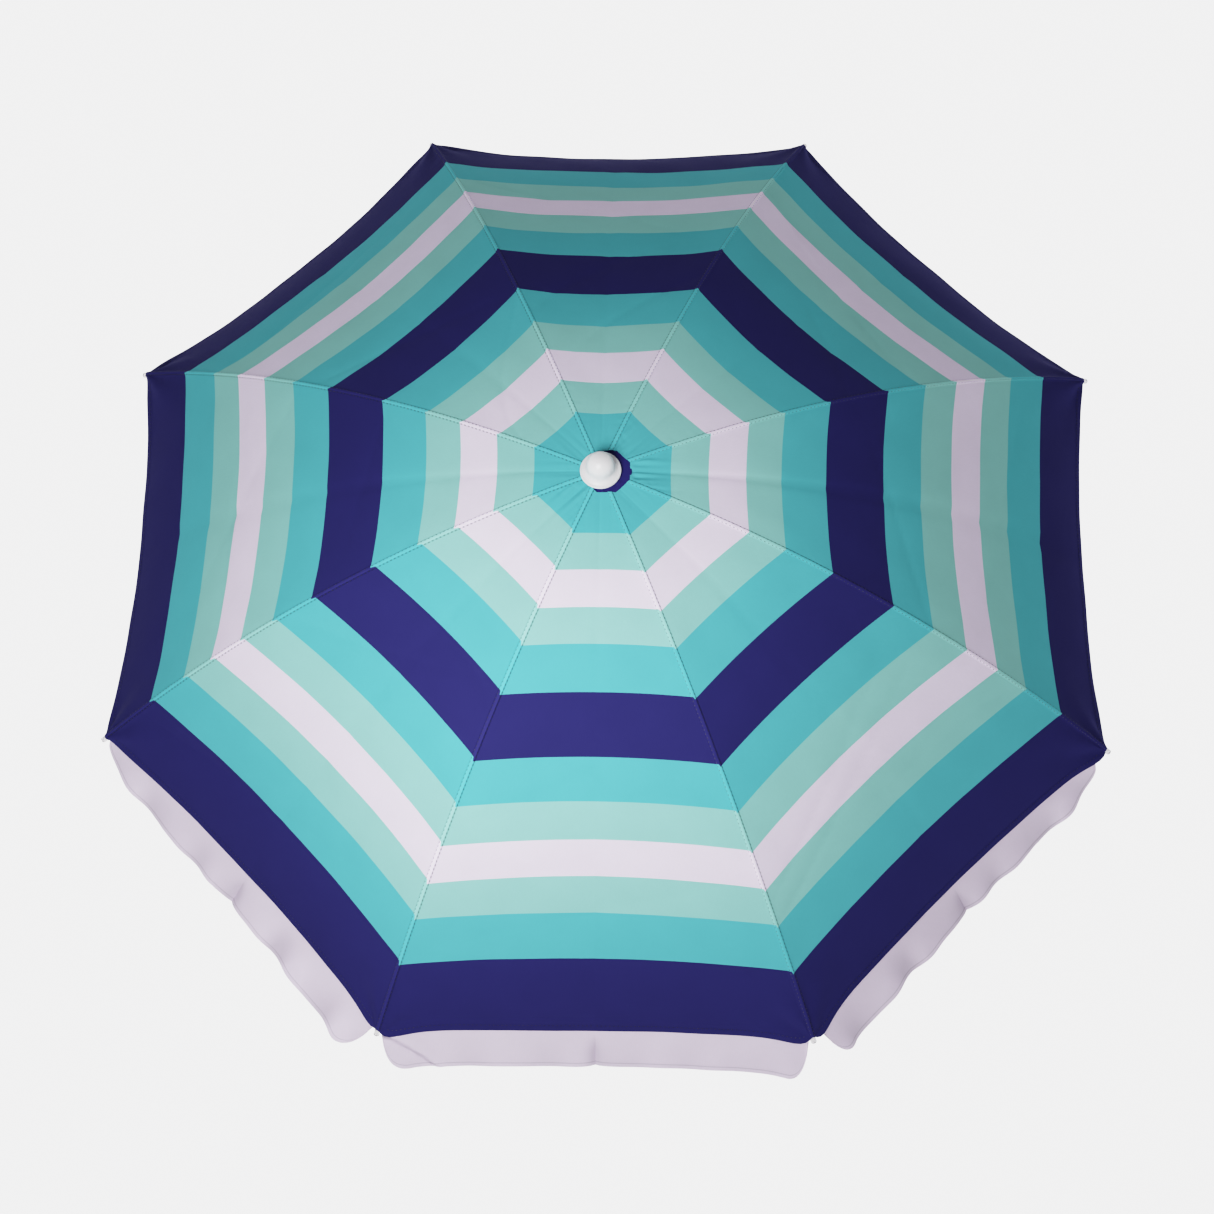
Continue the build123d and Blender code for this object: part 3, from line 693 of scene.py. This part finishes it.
# ---- the canopy: one gore over each rib, from mid-panel to mid-panel ----
BAND_COLUMNS = np.array([0, 0.0014, 0.0024, 0.0030, 0.0036, 0.0042, 0.0056, 0.0075])
FAR_COLUMNS = 20
ROWS = 190
HEM_ROW = -5  # the row of points that the hem's stitches follow


def shares_from_seam(radius):
    """Distances from the seam at each radius as shares of the half panel, from 0 at the seam."""
    half_width = (radius * math.sin(HALF_PANEL))[:, None]
    near = BAND_COLUMNS[None, :] / half_width
    start = near[:, -1:]
    steps = (np.arange(1, FAR_COLUMNS + 1) / FAR_COLUMNS) ** 1.35
    far = start + (1 - start) * steps
    past_middle = 2 - far[:, -2:-1]  # one more column on the far side, for the normals only
    return np.concatenate([near, far, past_middle], axis=1)


def row_shares():
    """Row places from 0 at the hole to 1 at the rim, closer together at both ends."""
    even = np.linspace(0, 1, ROWS)
    return even - 0.085 * np.sin(math.tau * even)


def half_gore(panel, side):
    """Radii and shares of one panel's half beside a rib; side is 1 or -1 for the rib's side."""
    rows = row_shares()
    radius = HOLE_R + (TIP_R - HOLE_R) * rows
    # The columns depend on the rows' radii, and those on the columns, so both settle in a few rounds.
    for _ in range(4):
        share = side * (1 - shares_from_seam(radius))
        inner = hole_radius(share, panel)
        outer = rim_radius(share, panel)
        radii = inner + (outer - inner) * rows[:, None]
        radius = radii[:, 0]
    return radii, share


def rib_direction(number):
    """A rib's angle round the pole, from +X."""
    return HALF_PANEL + PANEL_ANGLE * (number - 1)


def panels_beside(number):
    """The panels before and after a rib, counting round from +X."""
    return (number - 2) % RIB_COUNT + 1, number


def fold_with_rib(piece, number):
    """The piece rides on its rib, with a mesh of its own."""
    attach(piece, f"rib_{number}")
    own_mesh(piece)


def arc_along(points):
    """Distance down each column of a grid, from its first row."""
    steps = np.linalg.norm(np.diff(points, axis=0), axis=2)
    return np.concatenate([np.zeros((1, points.shape[1])), np.cumsum(steps, axis=0)])


def build_gore(number):
    """One sheet over a rib, with its seam down the middle and its stitching."""
    before, after = panels_beside(number)
    radii_a, share_a = half_gore(before, 1)
    radii_b, share_b = half_gore(after, -1)
    points_a = cloth_point(radii_a, share_a, before)
    points_b = cloth_point(radii_b, share_b, after)
    print_a = stripe_place(radii_a, share_a, before)
    print_b = stripe_place(radii_b, share_b, after)
    points = np.concatenate([points_a[:, ::-1], points_b[:, 1:]], axis=1)
    prints = np.concatenate([print_a[:, ::-1], print_b[:, 1:]], axis=1)
    sideways = np.concatenate(
        [
            -((1 - share_a) * radii_a)[:, ::-1] * math.sin(HALF_PANEL),
            ((1 + share_b) * radii_b)[:, 1:] * math.sin(HALF_PANEL),
        ],
        axis=1,
    )
    normals = grid_normals(points)[:, 1:-1]
    points, prints, sideways = points[:, 1:-1], prints[:, 1:-1], sideways[:, 1:-1]
    flat = np.stack([sideways, arc_along(points)], axis=2)
    gore = cloth_shell(f"canopy_gore_{number}", points, normals, flat, CANOPY_CLOTH)
    store(gore.data, "stripe", np.tile(prints.ravel(), 2))
    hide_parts(f"canopy_panel_{before}", f"canopy_panel_{after}")
    fold_with_rib(gore, number)
    stitching = build_stitching(number, points, normals, prints, sideways)


def build_stitching(number, points, normals, prints, sideways):
    """Two rows down the seam, and one along the rim's hem on both sides of it."""
    rows = Stitches()
    for offset in SEAM_STITCH_LINES:
        column = int(np.abs(sideways[ROWS // 2] - offset).argmin())
        rows.add_row(points[:, column], normals[:, column], prints[:, column])
    middle = points.shape[1] // 2
    clear_of_seam = len(BAND_COLUMNS)
    for part in (slice(0, middle + 1 - clear_of_seam), slice(middle + clear_of_seam, None)):
        rows.add_row(points[HEM_ROW, part], normals[HEM_ROW, part], prints[HEM_ROW, part])
    stitching = rows.build(f"seam_stitching_{number}", THREAD)
    fold_with_rib(stitching, number)
    return stitching


# ---- the valance: half a flap on each side of a rib ----
FLAP_COLUMNS = 64


def flap_lean(share, panel):
    """How far a flap leans out from upright, turning smoothly from one end to the other."""
    first, last = FLAPS[panel]["lean"]
    return np.radians(first + (last - first) * smoothstep((share + 1) / 2))


def flap_drop(from_end, corner, panel, share):
    """The flap's depth, with its lower corner rounded off."""
    reach = np.clip(from_end / corner, 0, 1)
    depth = VALANCE_DROP * (1 + DEEPER_FLAPS.get(panel, 0.0) * smoothstep(share))
    return depth * (0.04 + 0.96 * np.sqrt(np.maximum(1 - (1 - reach) ** 2, 0)))


def flap_swell(along, down, share, panel):
    """How far the loose cloth stands off its plane, growing towards the hem."""
    height = FLAPS[panel]["wave"]
    phase = FLAP_PHASES[panel]
    wave = np.sin(along * 61 + phase[0]) + 0.45 * np.sin(along * 97 + phase[1])
    pleats = np.abs(np.sin(along * 23 + phase[2])) - 0.6
    reach = down / VALANCE_DROP
    loose = height * (wave * 0.8 + pleats * 1.1) * reach**1.1
    crease = FLAP_CREASE_DEPTH * np.exp(-np.abs(along) / 0.010) * smoothstep(reach * 1.3)
    return loose - crease


def corner_fold(along, down, panel):
    """The front flap's first corner is folded under along a slanting line."""
    if panel != FRONT_PANEL:
        return np.zeros(np.broadcast(along, down).shape)
    start = -TIP_R * math.sin(HALF_PANEL) + 0.024
    past = (start + down * 1.15 - along) / 1.52
    return -0.0050 * smoothstep(past / 0.0035) + 0.0016 * np.exp(-((past / 0.005) ** 2))


def flap_rows(drop):
    """Distances down the flap, closer together over the piping and at the hem."""
    hem_rows = np.array([0.0, 0.0006, 0.0030, FLAP_HEM - 0.0006, FLAP_HEM + 0.0004])
    top_rows = np.array([0.0, 0.0010, 0.0022, FLAP_PIPING, 0.0042])
    body = np.linspace(0, 1, 16)[1:-1]
    scale = np.minimum(1, drop / 0.02)
    top = top_rows[:, None] * scale
    middle = top_rows[-1] * scale + body[:, None] * (drop - (top_rows[-1] + hem_rows[-1]) * scale)
    hem = drop - hem_rows[::-1, None] * scale
    return np.concatenate([top, middle, hem])


def flap_grid(panel, side):
    """Half a flap: its points, their flat places, heights over the hem and swell, side by side."""
    half_width = TIP_R * math.sin(HALF_PANEL)
    end = 0 if side < 0 else 1
    gap, corner = FLAPS[panel]["gap"][end], FLAPS[panel]["corner"][end]
    reach = np.linspace(0, 1, FLAP_COLUMNS)
    from_middle = (half_width - gap) * (1 - (1 - reach) ** 1.25)
    share = side * from_middle / half_width
    drop = flap_drop(half_width - gap - from_middle, corner, panel, share)
    down = flap_rows(drop)
    along = np.broadcast_to(side * from_middle, down.shape)
    share = np.broadcast_to(share, down.shape)
    angle = PANEL_ANGLE * panel
    lean = flap_lean(share, panel)
    out = out_from_pole(angle)
    fall = out * np.sin(lean)[..., None] - UP * np.cos(lean)[..., None]
    face = out * np.cos(lean)[..., None] + UP * np.sin(lean)[..., None]
    rim = cloth_point(rim_radius(share, panel) - 0.0004, share, panel, -FLAP_TUCK)
    hem = 0.0006 * smoothstep((FLAP_HEM - (drop - down)) / 0.0006)
    piping = 0.0007 * np.sin(math.pi * np.clip(down / FLAP_PIPING, 0, 1))
    swell = flap_swell(along, down, share, panel)
    height = swell + corner_fold(along, down, panel) + hem + piping
    points = rim + fall * down[..., None] + face * height[..., None]
    flat = np.stack([along, -down], axis=2)
    from_hem = drop - down
    if side < 0:
        return points[:, ::-1], flat[:, ::-1], from_hem[:, ::-1], swell[:, ::-1]
    return points, flat, from_hem, swell


def build_valance(number):
    """The half flaps on both sides of a rib, each its own sheet."""
    for panel, side, word in zip(panels_beside(number), (1, -1), ("before", "after")):
        points, flat, from_hem, swell = flap_grid(panel, side)
        normals = grid_normals(points)
        flap = cloth_shell(f"valance_{word}_rib_{number}", points, normals, flat, VALANCE_CLOTH)
        store(flap.data, "hem", np.tile(from_hem.ravel(), 2))
        store(flap.data, "fold", np.tile(swell.ravel(), 2))
        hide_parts(f"valance_{panel}")
        fold_with_rib(flap, number)


# ---- small sewn things ----
TIP_DEPTH = 0.00475  # from the outside of the cloth to the clear tip's middle line
TIE_R = 0.0047
TIE_LENGTH = 0.0042
TIE_TURNS = 4


def build_corner_tie(number):
    """Dark thread wound round a corner of the cloth and the clear tip."""
    angle = rib_direction(number)
    out = out_from_pole(angle)
    slope = math.atan(fabric_fall(TIP_R))
    along = out * math.cos(slope) - UP * math.sin(slope)
    side = out_from_pole(angle + math.pi / 2)
    square = np.cross(along, side)
    centre = out * (TIP_R - TIP_DEPTH * math.sin(slope))
    centre = centre + UP * (fabric_z(TIP_R) - TIP_DEPTH * math.cos(slope)) - along * 0.003
    turns = np.linspace(0, 1, 60)
    angle_round = turns * math.tau * TIE_TURNS
    winding = TIE_R + 0.0003 * np.sin(turns * 21)
    path = (
        centre
        + along * (TIE_LENGTH * turns)[:, None]
        + side * (winding * np.cos(angle_round))[:, None]
        + square * (winding * np.sin(angle_round))[:, None]
    )
    curve = bpy.data.curves.new(f"corner_tie_{number}", "CURVE")
    curve.dimensions = "3D"
    curve.bevel_depth = STITCH_R
    spline = curve.splines.new("POLY")
    spline.points.add(len(path) - 1)
    spline.points.foreach_set("co", np.column_stack([path, np.ones(len(path))]).ravel())
    tie = bpy.data.objects.new(f"corner_tie_{number}", curve)
    curve.materials.append(PATCH_CLOTH)
    bpy.context.scene.collection.objects.link(tie)
    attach(tie, f"rib_{number}")


def patch_piece(name, first, last, angles):
    """Part of the eight-sided navy patch under the cap, between two radii and over some directions."""
    rows = np.concatenate([np.linspace(first, last - 0.004, 10), np.linspace(last - 0.0034, last, 4)])
    radius, turn = np.meshgrid(rows, angles, indexing="ij")
    side = (turn + HALF_PANEL) % PANEL_ANGLE - HALF_PANEL
    flat_radius = radius * math.cos(HALF_PANEL) / np.cos(side)
    x, y = flat_radius * np.cos(turn), flat_radius * np.sin(turn)
    crumple = 0.00035 * np.sin(turn * 13 + radius * 90) + 0.0003 * np.sin(turn * 21 - radius * 130)
    showing = smoothstep((radius - 0.014) / 0.01) * smoothstep((0.040 - radius) / 0.008)
    tucked = smoothstep((np.hypot(x - HOLE_SHIFT, y) - HOLE_R + 0.0010) / 0.004)
    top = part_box("hub_patch")[1].z - 0.0001
    z = top + crumple * showing * (1 - tucked) - PATCH_TUCK * tucked
    points = np.stack([x, y, z], axis=2)
    patch = cloth_shell(name, points, grid_normals(points), points[..., :2].copy(), PATCH_CLOTH)
    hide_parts("hub_patch")
    return patch, points


def build_hub_patch():
    """The patch's middle stays on the head; its eight corners fold down with the ribs."""
    angles = np.linspace(0, math.tau, 97)
    middle, points = patch_piece("hub_patch_middle", PATCH_HOLE_R, PATCH_FOLD_R, angles)
    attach(middle, "head")
    for number in range(1, RIB_COUNT + 1):
        middle_angle = rib_direction(number)
        angles = np.linspace(middle_angle - HALF_PANEL, middle_angle + HALF_PANEL, 17)
        name = f"hub_patch_corner_{number}"
        corner, points = patch_piece(name, PATCH_FOLD_R - 0.0004, PATCH_R, angles)
        fold_with_rib(corner, number)


# ---- studio ----
FLOOR_COLOUR = (0.90, 0.90, 0.905)
FLOOR_SIDES = 64
FLOOR_RINGS = (0.02, 2.0, 8.0, 40.0)


def floor_material():
    """A pale floor that glows a little, so that shadows on it stay faint."""
    material, tree, shader = new_material("studio_floor")
    place = add_node(tree, "ShaderNodeTexCoord").outputs["Object"]
    grain = fit(tree, noise(tree, place, 3.0, 3.0), 0.995, 1.005)
    albedo = shade(tree, rgb(tree, FLOOR_COLOUR), math_node(tree, "MULTIPLY", grain, 0.10))
    tree.links.new(albedo, shader.inputs["Base Color"])
    shader.inputs["Roughness"].default_value = 0.9
    shader.inputs["Specular IOR Level"].default_value = 0.0
    shader.inputs["Emission Color"].default_value = (*FLOOR_COLOUR, 1.0)
    shader.inputs["Emission Strength"].default_value = 1.09
    return material


def build_floor():
    """A wide round floor under the spike's point."""
    angle = np.linspace(0, math.tau, FLOOR_SIDES, endpoint=False)
    height = np.full(FLOOR_SIDES, CAD_BOX[0].z)
    rings = [np.stack([r * np.cos(angle), r * np.sin(angle), height], axis=1) for r in FLOOR_RINGS]
    points = np.stack(rings)
    points = np.concatenate([points, points[:, :1]], axis=1)
    faces = grid_faces(len(FLOOR_RINGS), FLOOR_SIDES + 1).tolist()
    middle = list(range(FLOOR_SIDES))[::-1]
    floor = make_object("studio_floor", points, faces + [middle], floor_material(), False)


def build_world():
    """Soft studio air: bright near the horizon, dim overhead."""
    world = bpy.data.worlds.new("studio")
    world.use_nodes = True
    tree = world.node_tree
    direction = add_node(tree, "ShaderNodeTexCoord").outputs["Generated"]
    height = add_node(tree, "ShaderNodeSeparateXYZ", {0: direction}).outputs[2]
    glow = add_node(
        tree,
        "ShaderNodeMapRange",
        {"Value": height, "From Min": 0.02, "From Max": 0.10, "To Min": 0.95, "To Max": 0.13},
        interpolation_type="SMOOTHSTEP",
    ).outputs["Result"]
    background = tree.nodes["Background"]
    background.inputs["Color"].default_value = (0.99, 0.99, 1.0, 1.0)
    tree.links.new(glow, background.inputs["Strength"])
    bpy.context.scene.world = world


def build_lamp():
    """One round studio lamp close over the front of the canopy, a little to the left."""
    lamp = bpy.data.lights.new("studio_lamp", "POINT")
    lamp.shadow_soft_size = 0.22
    lamp.energy = 22.6
    holder = bpy.data.objects.new("studio_lamp", lamp)
    holder.location = (-0.228, -0.578, RIM_Z + 1.043)
    holder.visible_camera = False
    bpy.context.scene.collection.objects.link(holder)


def set_tone_curve():
    """The picture's contrast: dark tones are held down and light ones roll off below white."""
    view = bpy.context.scene.view_settings
    view.view_transform = "Standard"
    view.use_curve_mapping = True
    curve = view.curve_mapping.curves[3]
    exposure, contrast, ceiling = 6.11, 1.418, 1.02
    for light in (0.0, 0.02, 0.05, 0.1, 0.16, 0.24, 0.34, 0.46, 0.6, 0.78, 1.0):
        response = exposure * light**contrast
        level = ceiling * response / (response + 1)
        if light in (0.0, 1.0):
            curve.points[int(light) * (len(curve.points) - 1)].location = (light, level)
        else:
            curve.points.new(light, level)
    view.curve_mapping.update()


def build_camera():
    """A long lens, high over the front rim and turned a little on its axis."""
    aim = Vector((0.0025, -0.0921, RIM_Z))
    distance = 3.704
    azimuth, elevation, roll = math.radians(5.48), math.radians(66.94), math.radians(-4.47)
    level = math.cos(elevation)
    back = Vector((math.sin(azimuth) * level, -math.cos(azimuth) * level, math.sin(elevation)))
    right = Vector((math.cos(azimuth), math.sin(azimuth), 0))
    above = back.cross(right)
    turned_right = right * math.cos(roll) + above * math.sin(roll)
    turned_above = above * math.cos(roll) - right * math.sin(roll)
    camera = bpy.data.cameras.new("main_camera")
    camera.lens = 70.07
    camera.sensor_width = 36.0
    holder = bpy.data.objects.new("main_camera", camera)
    axes = Matrix((turned_right, turned_above, back)).transposed().to_4x4()
    holder.matrix_world = Matrix.Translation(aim + back * distance) @ axes
    bpy.context.scene.collection.objects.link(holder)
    bpy.context.scene.camera = holder


build_camera()
build_world()
build_floor()
build_lamp()
set_tone_curve()
finish_frame_nodes()
for rib_number in range(1, RIB_COUNT + 1):
    build_gore(rib_number)
    build_valance(rib_number)
    build_corner_tie(rib_number)
build_hub_patch()
